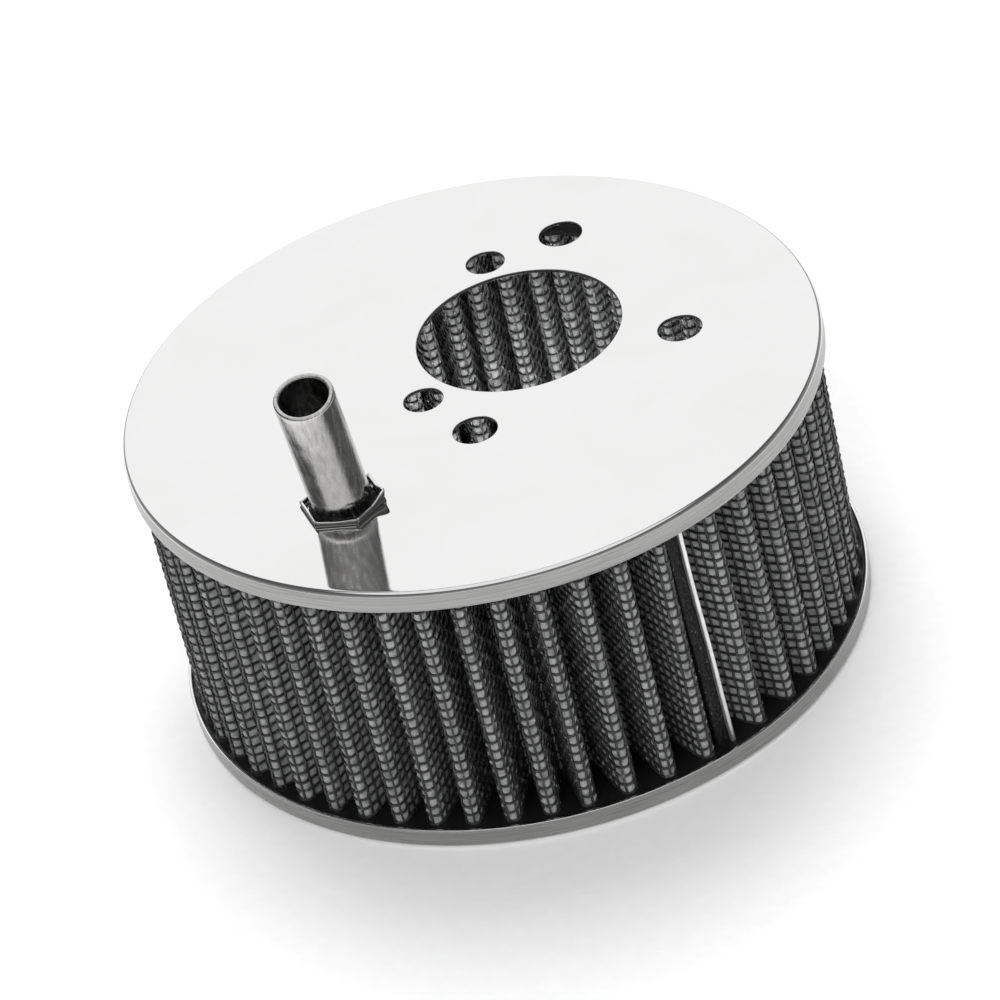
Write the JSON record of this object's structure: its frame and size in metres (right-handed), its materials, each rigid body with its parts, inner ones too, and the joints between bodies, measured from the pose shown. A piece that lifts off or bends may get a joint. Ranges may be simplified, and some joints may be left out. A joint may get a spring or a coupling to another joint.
{
  "type": "air filter",
  "caption": "Round pleated-gauze pancake air filter with polished plates, an off-centre carburettor bore, flange bolt holes and a leaning breather tube.",
  "frame": {"origin": "centre of the cover plate's outer face, on the filter's own axis", "axes": "+Z along the filter's axis towards the base plate and carburettor; +X from the bore's centre towards the single flange bolt hole"},
  "size_m": [0.15, 0.15, 0.1015],
  "materials": {
    "polished_steel": "mirror polished",
    "tube_steel": "drawn and buffed",
    "coated_wire": "semi-gloss black coating",
    "cotton_gauze": "woven, lightly oiled",
    "potting": "cast, satin",
    "sealant": "smoothed bead",
    "seam_aluminium": "bright"
  },
  "bodies": {
    "root": {"base_plate": "polished_steel", "cover_plate": "polished_steel", "breather_tube": "tube_steel", "breather_collar": "polished_steel", "breather_bead": "sealant", "outer_mesh": "coated_wire", "inner_mesh": "coated_wire", "gauze_layer_1": "cotton_gauze", "gauze_layer_2": "cotton_gauze", "gauze_layer_3": "cotton_gauze", "gauze_layer_4": "cotton_gauze", "seam_strip": "seam_aluminium", "seam_sealant": "sealant", "cover_end_potting": "potting", "base_end_potting": "potting"}
  },
  "joints": []
}
